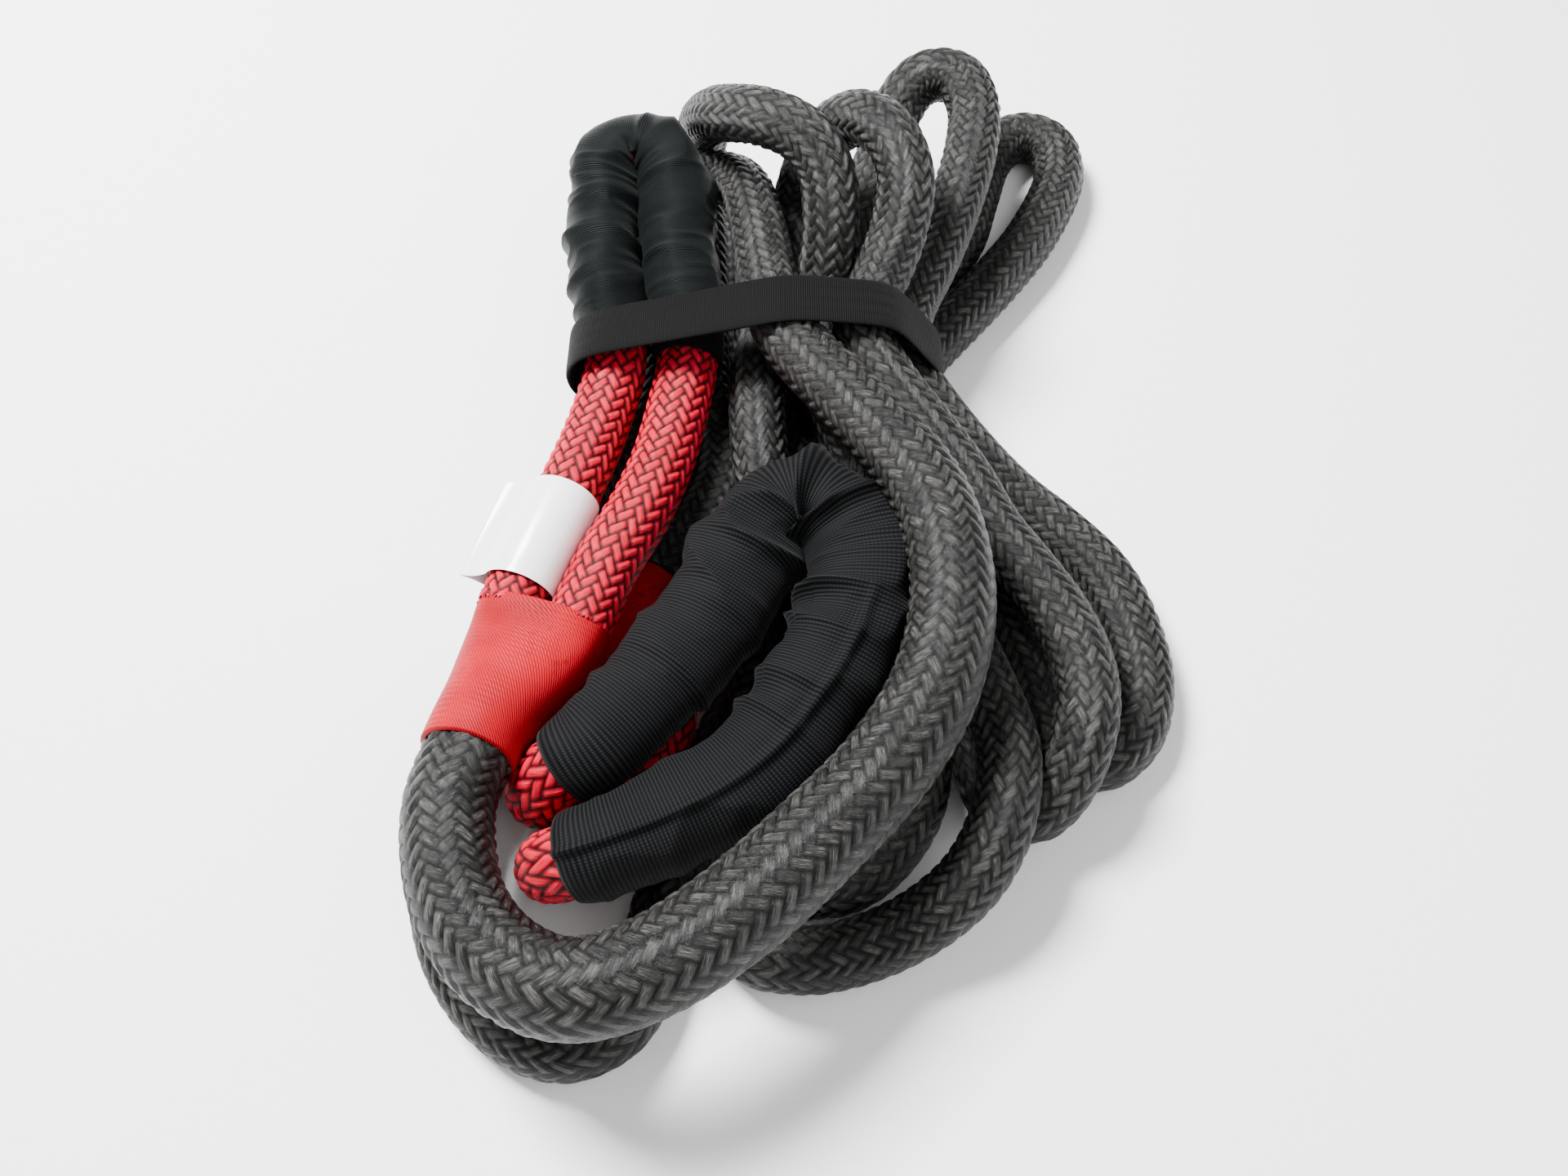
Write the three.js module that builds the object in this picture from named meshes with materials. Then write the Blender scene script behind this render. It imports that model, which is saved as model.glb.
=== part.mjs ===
// Kinetic recovery rope, tied in a loose hank as it is stored.
// Millimetres, +Z up. The rope lies on z = 0 and +Y runs along the hank to its upper folds.
import * as THREE from 'three';

// Driving dimensions
const ROPE_RADIUS = 12.5;
const COATED_RADIUS = 13.4;      // red coating on the rope of the eyes
const SPLICE_SIZES = [           // the body's radius, by distance from eye 1, where its tail is buried
  [0, 17],
  [60, 16.5],
  [200, 17.5],
  [330, 16],
  [430, 14.5],
  [560, ROPE_RADIUS],
];
const END_SIZES = [              // the same, by distance from eye 2
  [0, 14],
  [120, ROPE_RADIUS],
];
const SLEEVE_WALL = 1.6;
const EYE_1_SLEEVE_RADIUS = 16.6;
const EYE_2_SLEEVE_RADIUS = 20.5;
const EYE_2_SLEEVE_HEIGHT = 16.2;
const SLEEVE_END_RADIUS = 18;     // the second eye's sleeve lies narrower at its ends
const SLEEVE_TAPER = 0.14;       // the share of the eye's rope over which it widens
const STRAP_WIDTH = 25;
const STRAP_THICK = 2;
const STRAP_REACH = 10;          // how far beyond its edges the strap feels a slanting strand
const STRAP_EASE = 1;
const STRAP_Y = 407;             // middle of the strap, before centring
const TAG_LENGTH = 48;
const TAG_AT = 0.068;            // middle of the tag, as a share of eye 1's rope
const TAG_FLAP = 13;
const TAG_EASE = 1.2;            // room between the tag and the rope
const TAG_OPEN = 0.45;           // half of the angle where the tape leaves the rope for the flap
const TAG_THICK = 0.8;
const THROAT_HALF = 25.5;        // half the width of an eye's two legs side by side
const WHIPPING_1_RADIUS = 18.5;
const WHIPPING_2_RADIUS = 13.8;
const GAP = 0.4;                 // clearance between touching parts
const SIDES = 10;

// How the rope lies: nodes of a smooth line, pushed apart to the rope's thickness
const NODE_STEP = 10;
const NODE_GAP = 0.9;
const OWN_ARC = 66;              // nodes nearer than this along one strand don't push each other
const BEND_RADIUS = 18;
const SETTLE_ROUNDS = 500;
const CENTRE = [-8.26, -347.5, 0];  // moves the finished hank over the origin

// Route points, chosen by hand: x to the right, y up the hank, z above the ground
const BODY_ROUTE = [
  [-117, 213, 52], [-121, 194, 55], [-119, 173, 58], [-111, 150, 62], [-95, 131, 66], [-72, 121, 70],
  [-46, 127, 72], [-17, 146, 72], [12, 174, 70], [34, 198, 70], [50, 222, 74], [58, 246, 76],
  [60, 270, 76], [56, 296, 75], [47, 319, 73], [36, 342, 71], [24, 366, 68], [10, 390, 65],
  [2, 407, 64], [-3, 438, 62], [-8, 469, 62], [-14, 495, 57], [-25, 512, 50], [-42, 520, 44],
  [-58, 514, 33], [-66, 497, 19], [-66, 470, 13.5], [-60, 407, 15.5], [-67, 380, 14], [-82, 345, 13],
  [-97, 305, 13], [-111, 265, 13], [-125, 225, 13], [-132, 186, 13], [-124, 150, 13], [-104, 125, 13],
  [-80, 115, 13], [-60, 124, 13], [-50, 146, 13], [-44, 172, 13], [-34, 198, 13], [-25, 230, 13],
  [-12, 265, 13], [-4, 300, 13], [-3, 335, 20], [-9, 370, 34], [-11, 407, 41.5], [-8, 440, 40],
  [-3, 470, 44], [4, 500, 54], [14, 516, 72], [30, 510, 90], [43, 492, 97], [50, 471, 91],
  [46, 451, 78], [36, 430, 66], [29, 407, 64], [40, 385, 59], [58, 364, 51], [74, 343, 44],
  [86, 320, 40], [99, 300, 39], [110, 280, 39], [117, 258, 39], [117, 238, 36], [109, 218, 26],
  [94, 206, 15], [82, 217, 13], [79, 240, 13], [74, 270, 13], [64, 300, 13], [48, 335, 13],
  [32, 372, 13], [20, 407, 15.5], [41, 442, 13], [68, 474, 13], [88, 505, 13], [97, 535, 13],
  [107, 565, 13], [122, 580, 13], [138, 574, 13], [141, 552, 13], [124, 512, 13], [102, 481, 13],
  [78, 452, 13], [61, 430, 13], [46, 407, 15.5], [60, 370, 13], [73, 332, 13], [89, 295, 13],
  [98, 262, 13], [104, 237, 13], [122, 224, 13], [139, 237, 13], [146, 260, 13], [143, 287, 13],
  [134, 311, 13], [116, 332, 13], [96, 347, 17], [76, 362, 27], [59, 383, 38], [49, 407, 41.5], [53, 430, 46],
  [66, 458, 50], [79, 490, 55], [88, 520, 60], [91, 548, 62], [84, 568, 62], [68, 572, 58],
  [55, 558, 48], [46, 535, 34], [32, 505, 20], [14, 470, 13], [-1, 440, 13], [-6, 407, 15.5],
  [3, 375, 13], [18, 340, 13], [33, 300, 13], [44, 268, 13], [53, 242, 13], [54, 216, 13],
  [44, 194, 13], [26, 178, 13], [4, 174, 13], [-14, 166, 13], [-14, 152, 14], [6, 146, 15], [28, 149, 16],
  [51, 158, 20], [71, 172, 30], [83, 192, 38], [87, 218, 40], [80, 245, 39], [67, 280, 39],
  [52, 320, 39], [33, 360, 39], [16, 407, 41.5], [17, 432, 56], [20, 451, 78], [18, 470, 94],
  [8, 483, 102], [-8, 494, 102], [-24, 508, 92], [-34, 528, 72], [-40, 544, 50], [-42, 548, 28],
  [-41, 530, 14], [-38, 500, 13], [-36, 460, 13], [-33, 407, 15.5], [-29, 383, 13], [-30, 358, 13],
  [-40, 334, 13], [-54, 309, 13],
];
const EYE_1_ROUTE = [
  [-111, 278, 42], [-106, 294, 42], [-98, 315, 43], [-89, 340, 43], [-80, 372, 41], [-73, 407, 42],
  [-76, 430, 44], [-80, 455, 50], [-82, 480, 53], [-82, 499, 56], [-77, 514, 58], [-65, 520, 58],
  [-54, 513, 57], [-48, 498, 56], [-47, 480, 55], [-46, 455, 53], [-44, 430, 49], [-43, 407, 43],
  [-47, 378, 42], [-52, 353, 42], [-60, 328, 43], [-72, 302, 43], [-78, 286, 42], [-83, 270, 42],
];
const EYE_2_ROUTE = [
  [-74, 268, 14.5], [-81, 242, 14.5], [-87, 222, 14.5], [-91, 209, 20], [-90, 205, 34],
  [-81, 208, 48], [-70, 214, 53], [-61, 223, 54], [-48, 239, 54], [-34, 259, 54], [-20, 283, 55],
  [-8, 305, 56], [3, 321, 58], [17, 323, 60], [30, 306, 61], [30, 279, 61], [20, 251, 60],
  [8, 230, 59], [-7, 211, 57], [-25, 197, 55], [-47, 186, 53], [-68, 178, 51], [-82, 175, 46],
  [-88, 178, 33], [-83, 185, 18], [-75, 196, 14.5], [-62, 214, 14.5], [-51, 242, 14.5],
  [-50, 262, 14.5],
];
const EYE_1_SLEEVE_SPAN = [0.27, 0.73];   // as shares of the eye's rope
const EYE_2_SLEEVE_SPAN = [0.165, 0.785];

// Vectors
const UP = [0, 0, 1];
const sub = (a, b) => [a[0] - b[0], a[1] - b[1], a[2] - b[2]];
const add = (a, b, k = 1) => [a[0] + b[0] * k, a[1] + b[1] * k, a[2] + b[2] * k];
const len = (a) => Math.hypot(a[0], a[1], a[2]);
const unit = (a) => {
  const l = len(a) || 1;
  return [a[0] / l, a[1] / l, a[2] / l];
};
const cross = (a, b) => [
  a[1] * b[2] - a[2] * b[1],
  a[2] * b[0] - a[0] * b[2],
  a[0] * b[1] - a[1] * b[0],
];
const mix = (a, b, t) => [a[0] + (b[0] - a[0]) * t, a[1] + (b[1] - a[1]) * t, a[2] + (b[2] - a[2]) * t];

// Points at an even spacing along a line
function even(line, step) {
  const at = [0];
  for (let i = 1; i < line.length; i += 1) at.push(at[i - 1] + len(sub(line[i], line[i - 1])));
  const total = at[at.length - 1];
  const count = Math.max(2, Math.round(total / step) + 1);
  const out = [];
  let k = 0;
  for (let i = 0; i < count; i += 1) {
    const s = (total * i) / (count - 1);
    while (k < line.length - 2 && at[k + 1] < s) k += 1;
    out.push(mix(line[k], line[k + 1], (s - at[k]) / (at[k + 1] - at[k])));
  }
  return out;
}

// A centripetal Catmull-Rom line through the route's points
function smooth(route, step) {
  const n = route.length;
  const p = [add(route[0], sub(route[0], route[1])), ...route];
  p.push(add(route[n - 1], sub(route[n - 1], route[n - 2])));
  const line = [];
  const fine = 24;
  for (let i = 1; i < n; i += 1) {
    const [a, b, c, d] = [p[i - 1], p[i], p[i + 1], p[i + 2]];
    const t1 = Math.sqrt(len(sub(b, a)));
    const t2 = t1 + Math.sqrt(len(sub(c, b)));
    const t3 = t2 + Math.sqrt(len(sub(d, c)));
    for (let j = 0; j < fine; j += 1) {
      const t = t1 + ((t2 - t1) * j) / fine;
      const ab = mix(a, b, t / t1);
      const bc = mix(b, c, (t - t1) / (t2 - t1));
      const cd = mix(c, d, (t - t2) / (t3 - t2));
      line.push(mix(mix(ab, bc, t / t2), mix(bc, cd, (t - t1) / (t3 - t1)), (t - t1) / (t2 - t1)));
    }
  }
  line.push(route[n - 1]);
  return even(line, step);
}

// The value at x of a line drawn through [x, value] pairs
function through(pairs, x) {
  let k = 0;
  while (k < pairs.length - 2 && pairs[k + 1][0] < x) k += 1;
  const t = Math.min(1, Math.max(0, (x - pairs[k][0]) / (pairs[k + 1][0] - pairs[k][0])));
  return pairs[k][1] + (pairs[k + 1][1] - pairs[k][1]) * t;
}

const lengthOf = (line) => line.reduce((sum, p, i) => sum + (i ? len(sub(p, line[i - 1])) : 0), 0);
const insideSpan = (share, span) => share > span[0] && share < span[1];
const spanEnds = (line, span) => [Math.ceil(span[0] * (line.length - 1)), Math.floor(span[1] * (line.length - 1))];

// The room that each strand takes at a share of its length
function bodyRadius(share, total) {
  const near = through(SPLICE_SIZES, share * total);
  const far = through(END_SIZES, (1 - share) * total);
  return Math.max(near, far);
}
const eye1Radius = (share) => (insideSpan(share, EYE_1_SLEEVE_SPAN) ? EYE_1_SLEEVE_RADIUS : COATED_RADIUS);
function eye2Width(share) {
  const inner = Math.min(share - EYE_2_SLEEVE_SPAN[0], EYE_2_SLEEVE_SPAN[1] - share);
  const full = Math.min(1, Math.max(0, inner / SLEEVE_TAPER));
  return SLEEVE_END_RADIUS + (EYE_2_SLEEVE_RADIUS - SLEEVE_END_RADIUS) * full;
}
const eye2Radius = (share) => (insideSpan(share, EYE_2_SLEEVE_SPAN) ? eye2Width(share) : COATED_RADIUS);

// Lets the strands settle beside and on each other, clear by NODE_GAP, bent no tighter than BEND_RADIUS
function settle(strands) {
  const nodes = [];
  strands.forEach((strand, which) => {
    const last = strand.line.length - 1;
    const total = lengthOf(strand.line);
    strand.line.forEach((p, i) => {
      nodes.push({ start: p, at: p, r: strand.radius(i / last, total), which, i, last });
    });
  });
  const pairs = [];
  for (let i = 0; i < nodes.length; i += 1) {
    for (let j = i + 1; j < nodes.length; j += 1) {
      const [a, b] = [nodes[i], nodes[j]];
      const near = a.which === b.which && (b.i - a.i) * NODE_STEP < OWN_ARC;
      const throat = a.which === 0 && ((b.which === 1 && a.i < 6) || (b.which === 2 && a.i > a.last - 6));
      if (!near && !throat) pairs.push([i, j, a.r + b.r + NODE_GAP]);
    }
  }
  const limit = (NODE_STEP * NODE_STEP) / (2 * BEND_RADIUS);
  const inner = nodes.map((n, k) => k).filter((k) => nodes[k].i > 0 && nodes[k].i < nodes[k].last);
  for (let round = 0; round < SETTLE_ROUNDS; round += 1) {
    const push = nodes.map(() => [0, 0, 0]);
    const hits = nodes.map(() => 0);
    for (const [i, j, room] of pairs) {
      const d = sub(nodes[i].at, nodes[j].at);
      if (Math.abs(d[0]) > room || Math.abs(d[1]) > room || Math.abs(d[2]) > room) continue;
      const l = len(d);
      if (l >= room) continue;
      const k = (0.5 * (room - l)) / l;
      push[i] = add(push[i], d, k);
      push[j] = add(push[j], d, -k);
      hits[i] += 1;
      hits[j] += 1;
    }
    nodes.forEach((n, k) => {
      n.at = add(n.at, push[k], 1.3 / Math.max(hits[k], 1));
    });
    const shift = nodes.map((n) => sub(n.at, n.start));
    const eased = shift.map((s) => s);
    for (const k of inner) {
      const bend = add(add(shift[k - 1], shift[k + 1]), shift[k], -2);
      eased[k] = add(shift[k], bend, 0.25);
    }
    nodes.forEach((n, k) => {
      n.at = add(n.start, eased[k], 0.997);
    });
    const pull = nodes.map(() => [0, 0, 0]);
    for (const k of inner) {
      const mid = sub(mix(nodes[k - 1].at, nodes[k + 1].at, 0.5), nodes[k].at);
      const l = len(mid);
      if (l <= limit) continue;
      const f = (0.4 * (l - limit)) / l;
      pull[k] = add(pull[k], mid, f);
      pull[k - 1] = add(pull[k - 1], mid, -f / 2);
      pull[k + 1] = add(pull[k + 1], mid, -f / 2);
    }
    nodes.forEach((n, k) => {
      n.at = add(n.at, pull[k]);
      const underStrap = Math.abs(n.at[1] - STRAP_Y) < 18 ? STRAP_THICK + STRAP_EASE : 0;
      n.at[2] = Math.max(n.at[2], n.r + underStrap);
    });
  }
  return strands.map((strand, which) => {
    const own = nodes.filter((n) => n.which === which);
    return own.map((n) => ({ p: n.at, r: n.r }));
  });
}

// Keeps a ring at every sharp bend and stop, and fewer on straight runs
function thin(line, stops = []) {
  const kept = [0];
  let turn = 0;
  for (let i = 1; i < line.length - 1; i += 1) {
    const a = unit(sub(line[i].p, line[i - 1].p));
    const b = unit(sub(line[i + 1].p, line[i].p));
    turn += len(sub(b, a));
    if (i - kept[kept.length - 1] >= 3 || turn > 0.22 || stops.includes(i)) {
      kept.push(i);
      turn = 0;
    }
  }
  kept.push(line.length - 1);
  return kept;
}

// Directions along the line, and an across direction carried along it without twist
function framesOf(line, across) {
  const frames = [];
  let side = across;
  line.forEach((n, i) => {
    const before = line[Math.max(i - 1, 0)].p;
    const after = line[Math.min(i + 1, line.length - 1)].p;
    const along = unit(sub(after, before));
    const dot = side[0] * along[0] + side[1] * along[1] + side[2] * along[2];
    side = unit(add(side, along, -dot));
    frames.push({ along, side, up: cross(along, side) });
  });
  return frames;
}

// Rings of points around the line, w to the side and h up
function ringsOf(line, w, h, kept, sides = SIDES, across = UP) {
  const frames = framesOf(line, across);
  return kept.map((i) => {
    const f = frames[i];
    const ring = [];
    for (let k = 0; k < sides; k += 1) {
      const a = (2 * Math.PI * (k + 0.5)) / sides;
      ring.push(add(add(line[i].p, f.side, Math.cos(a) * h(i)), f.up, Math.sin(a) * w(i)));
    }
    return ring;
  });
}

// A closed solid from rings; with inner rings it is an open pipe with a wall
function solid(rings, inner = null) {
  const position = [];
  const index = [];
  const sides = rings[0].length;
  const skin = (list, flip) => {
    const base = position.length / 3;
    list.flat().forEach((p) => position.push(...p));
    for (let i = 0; i < list.length - 1; i += 1) {
      for (let k = 0; k < sides; k += 1) {
        const a = base + i * sides + k;
        const b = base + i * sides + ((k + 1) % sides);
        const quad = [a, b, b + sides, a, b + sides, a + sides];
        index.push(...(flip ? quad.reverse() : quad));
      }
    }
    return base;
  };
  const outerBase = skin(rings, false);
  const lastRing = (rings.length - 1) * sides;
  if (inner) {
    const innerBase = skin(inner, true);
    for (let k = 0; k < sides; k += 1) {
      const n = (k + 1) % sides;
      const [a, b, c, d] = [outerBase + k, outerBase + n, innerBase + n, innerBase + k];
      index.push(a, c, b, a, d, c);
      const [e, f, g, h] = [a + lastRing, b + lastRing, c + lastRing, d + lastRing];
      index.push(e, f, g, e, g, h);
    }
  } else {
    for (let k = 1; k < sides - 1; k += 1) {
      index.push(outerBase, outerBase + k + 1, outerBase + k);
      index.push(outerBase + lastRing, outerBase + lastRing + k, outerBase + lastRing + k + 1);
    }
  }
  const geometry = new THREE.BufferGeometry();
  geometry.setAttribute('position', new THREE.Float32BufferAttribute(position, 3));
  geometry.setIndex(index);
  return geometry;
}

function tube(line, shrink = 0.2, stops = []) {
  const kept = thin(line, stops);
  return solid(ringsOf(line, (i) => line[i].r - shrink, (i) => line[i].r - shrink, kept));
}

// The rope of an eye keeps its coated thickness inside the sleeve
function eyeTube(line, span) {
  const bare = line.map((n) => ({ p: n.p, r: COATED_RADIUS }));
  return tube(bare, 0.2, spanEnds(line, span));
}

// A fabric sleeve over the middle of an eye, on the rope's own rings, narrower where the eye bends tightly
function sleeve(line, span, width, height) {
  const last = line.length - 1;
  const frames = framesOf(line, UP);
  const least = COATED_RADIUS + GAP + SLEEVE_WALL;
  const wide = (i) => {
    const turn = len(sub(frames[i + 1].along, frames[i - 1].along));
    return Math.max(least, Math.min(width(i / last), (0.9 * 2 * NODE_STEP) / Math.max(turn, 0.001)));
  };
  const kept = thin(line, spanEnds(line, span)).filter((i) => insideSpan(i / last, span));
  const wall = SLEEVE_WALL;
  const outer = ringsOf(line, wide, () => height, kept);
  const inner = ringsOf(line, (i) => wide(i) - wall, () => height - wall, kept);
  return solid(outer, inner);
}

// The wound band where the two legs of an eye enter the rope; it leaves them and meets the rope squarely
function whipping(from, fromWay, to, toWay, wideAcross, topWidth, topHeight, endRadius) {
  const points = [
    add(from, fromWay, 3.4),
    add(from, fromWay, 7),
    mix(add(from, fromWay, 12), add(to, toWay, -12), 0.5),
    add(to, toWay, -7),
    add(to, toWay, -0.6),
  ];
  const line = points.map((p) => ({ p, r: endRadius }));
  const share = [0, 0.15, 0.5, 0.9, 1];
  const width = (i) => topWidth + (endRadius - topWidth) * share[i];
  const height = (i) => topHeight + (endRadius - topHeight) * share[i];
  const kept = line.map((n, i) => i);
  return solid(ringsOf(line, height, width, kept, 14, wideAcross));
}

// Convex outline around points [x, z], counter-clockwise
function hull(points) {
  const sorted = [...points].sort((a, b) => a[0] - b[0] || a[1] - b[1]);
  const turn = (o, a, b) => (a[0] - o[0]) * (b[1] - o[1]) - (a[1] - o[1]) * (b[0] - o[0]);
  const half = (list) => {
    const out = [];
    for (const p of list) {
      while (out.length > 1 && turn(out[out.length - 2], out[out.length - 1], p) <= 1e-6) out.pop();
      out.push(p);
    }
    out.pop();
    return out;
  };
  return [...half(sorted), ...half(sorted.reverse())];
}

// The webbing strap, drawn tight round every strand at STRAP_Y
function strap(strands) {
  const outline = (grow) => {
    const points = [];
    for (const strand of strands) {
      strand.forEach((n, i) => {
        if (Math.abs(n.p[1] - STRAP_Y) > STRAP_WIDTH / 2 + STRAP_REACH) return;
        const along = unit(sub(strand[i + 1].p, strand[i - 1].p));
        const lowest = n.r + STRAP_THICK + STRAP_EASE;
        const low = n.p[2] < lowest + 3 * GAP;
        const z = low ? lowest : n.p[2];
        for (let k = 0; k < 16; k += 1) {
          const a = (2 * Math.PI * k) / 16;
          const r = (low ? n.r : n.r / Math.abs(along[1])) + grow;
          points.push([n.p[0] + Math.cos(a) * r, z + Math.sin(a) * r]);
        }
      });
    }
    return hull(points);
  };
  const shape = new THREE.Shape(outline(STRAP_EASE + STRAP_THICK).map((p) => new THREE.Vector2(...p)));
  shape.holes.push(new THREE.Path(outline(STRAP_EASE).map((p) => new THREE.Vector2(...p))));
  const geometry = new THREE.ExtrudeGeometry(shape, { depth: STRAP_WIDTH, bevelEnabled: false });
  geometry.rotateX(Math.PI / 2);
  geometry.translate(0, STRAP_Y + STRAP_WIDTH / 2, 0);
  return geometry;
}

// The blank tag: tape wrapped round the left leg of eye 1, its two ends sewn into a flap on the left
function tag(line) {
  const inside = COATED_RADIUS + TAG_EASE;
  const loop = (r, reach, half) => {
    const points = [];
    for (let k = 0; k <= 22; k += 1) {
      const a = TAG_OPEN + ((2 * Math.PI - 2 * TAG_OPEN) * k) / 22;
      points.push([Math.cos(a) * r, Math.sin(a) * r]);
    }
    return [[r + reach, half], ...points, [r + reach, -half]];
  };
  const ringAt = (offset, shape) => {
    const place = TAG_AT * (line.length - 1) + offset / NODE_STEP;
    const i = Math.floor(place);
    const at = mix(line[i].p, line[i + 1].p, place - i);
    const along = unit(sub(line[i + 2].p, line[i - 1].p));
    const left = unit(cross(UP, along));
    const up = cross(along, left);
    return shape.map(([x, z]) => add(add(at, left, x), up, z));
  };
  const rows = [-0.5, -0.25, 0, 0.25, 0.5].map((share) => share * TAG_LENGTH);
  const outer = rows.map((row) => ringAt(row, loop(inside + TAG_THICK, TAG_FLAP, TAG_THICK)));
  const inner = rows.map((row) => ringAt(row, loop(inside, -TAG_THICK, TAG_THICK)));
  return solid(outer, inner);
}

function build() {
  const [body, eye1, eye2] = settle([
    { line: smooth(BODY_ROUTE, NODE_STEP), radius: bodyRadius },
    { line: smooth(EYE_1_ROUTE, NODE_STEP), radius: eye1Radius },
    { line: smooth(EYE_2_ROUTE, NODE_STEP), radius: eye2Radius },
  ]);
  const group = new THREE.Group();
  group.name = 'kinetic_recovery_rope';
  const put = (name, geometry, color) => {
    geometry.translate(...CENTRE);
    const mesh = new THREE.Mesh(geometry, new THREE.MeshStandardMaterial({ color }));
    mesh.name = name;
    group.add(mesh);
  };
  const ends = (eye) => mix(eye[0].p, eye[eye.length - 1].p, 0.5);
  const acrossEnds = (eye) => unit(sub(eye[eye.length - 1].p, eye[0].p));

  put('rope_body', tube(body), 0x3a3a38);
  put('eye_1_rope', eyeTube(eye1, EYE_1_SLEEVE_SPAN), 0xc8283c);
  put('eye_2_rope', eyeTube(eye2, EYE_2_SLEEVE_SPAN), 0xc8283c);

  const wayOut = (eye) => {
    const last = eye.length - 1;
    const a = unit(sub(eye[0].p, eye[1].p));
    const b = unit(sub(eye[last].p, eye[last - 1].p));
    return unit(add(a, b));
  };
  const bodyLast = body.length - 1;
  const bodyStartWay = unit(sub(body[1].p, body[0].p));
  const bodyEndWay = unit(sub(body[bodyLast - 1].p, body[bodyLast].p));
  put('eye_1_whipping', whipping(ends(eye1), wayOut(eye1), body[0].p, bodyStartWay,
    acrossEnds(eye1), THROAT_HALF, COATED_RADIUS + 1.1, WHIPPING_1_RADIUS), 0xc0182c);
  put('eye_2_whipping', whipping(ends(eye2), wayOut(eye2), body[bodyLast].p, bodyEndWay,
    acrossEnds(eye2), THROAT_HALF, COATED_RADIUS - 0.2, WHIPPING_2_RADIUS), 0xc0182c);

  put('eye_1_sleeve', sleeve(eye1, EYE_1_SLEEVE_SPAN, () => EYE_1_SLEEVE_RADIUS, EYE_1_SLEEVE_RADIUS), 0x15181a);
  put('eye_2_sleeve', sleeve(eye2, EYE_2_SLEEVE_SPAN, eye2Width, EYE_2_SLEEVE_HEIGHT), 0x121214);
  put('label_tag', tag(eye1), 0xf2f2f0);
  put('tie_strap', strap([body, eye1, eye2]), 0x101012);
  return group;
}

export default build();
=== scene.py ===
import math
import bpy
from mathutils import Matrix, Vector
import numpy as np


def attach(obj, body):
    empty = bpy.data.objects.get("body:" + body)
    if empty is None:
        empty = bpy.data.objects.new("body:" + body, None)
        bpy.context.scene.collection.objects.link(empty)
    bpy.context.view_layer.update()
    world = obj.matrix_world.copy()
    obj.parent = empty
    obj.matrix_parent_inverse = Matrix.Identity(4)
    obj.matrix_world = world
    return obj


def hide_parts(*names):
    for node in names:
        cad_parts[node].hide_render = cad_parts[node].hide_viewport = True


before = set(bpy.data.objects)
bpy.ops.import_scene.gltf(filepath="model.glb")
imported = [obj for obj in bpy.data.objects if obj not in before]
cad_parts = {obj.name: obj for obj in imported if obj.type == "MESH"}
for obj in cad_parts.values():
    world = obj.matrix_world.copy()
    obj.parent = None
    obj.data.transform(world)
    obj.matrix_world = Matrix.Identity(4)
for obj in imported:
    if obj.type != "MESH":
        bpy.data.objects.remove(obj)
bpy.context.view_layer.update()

# Driving dimensions, in metres, as in the part's source but for the second sleeve's radius
ROPE_RADIUS = 0.0125
COATED_RADIUS = 0.0134
# The body's radius by distance from eye 1, where the eye's tail is buried, and by distance from eye 2
SPLICE_SIZES = [
    (0, 0.017), (0.060, 0.0165), (0.200, 0.0175), (0.330, 0.016), (0.430, 0.0145), (0.560, ROPE_RADIUS),
]
END_SIZES = [(0, 0.014), (0.120, ROPE_RADIUS)]
EYE_1_SLEEVE_RADIUS = 0.0166
EYE_2_SLEEVE_RADIUS = 0.0215     # slack cloth, 1 mm wider each side than its solid
EYE_2_SLEEVE_HEIGHT = 0.0162
SLEEVE_END_RADIUS = 0.018
SLEEVE_TAPER = 0.14
EYE_1_SLEEVE_SPAN = (0.27, 0.73)
EYE_2_SLEEVE_SPAN = (0.165, 0.785)
STRAP_WIDTH = 0.025
STRAP_THICK = 0.002
STRAP_EASE = 0.001
STRAP_Y = 0.407
TAG_LENGTH = 0.048
TAG_AT = 0.068
TAG_FLAP = 0.013
TAG_OPEN = 0.45
THROAT_HALF = 0.0255
WHIPPING_1_RADIUS = 0.0185
WHIPPING_2_RADIUS = 0.0138
CENTRE = np.array([-0.00826, -0.3475, 0.0])

# How the strands settle, as in the part's source
NODE_STEP = 0.010
NODE_GAP = 0.0009
OWN_ARC = 0.066
BEND_RADIUS = 0.018
SETTLE_ROUNDS = 500
THROAT_NODES = 6
PUSH_SHARE = 1.3
EVEN_SHARE = 0.25
KEPT_SHIFT = 0.997
UNBEND_SHARE = 0.4
STRAP_FLOOR_REACH = 0.018
CURVE_CUTS = 24
TINY = 1e-12

# The braid: strands each way round, the rise of one strand along the rope, and its relief
STRANDS = 16
STRAND_RISE = 0.0065
STRAND_CUTS = 3
STRAND_THICK = 0.0014
FLOAT_RISE = 0.0008
FLOAT_STEEPNESS = 1.6
BRAID_SINK = 0.0017
CROSSING_STEP = 1e-4
STRAND_LABELS = 97
COUNTER_LABELS = 200
PATH_STEP = 0.005
PATH_LEAST = 12

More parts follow.
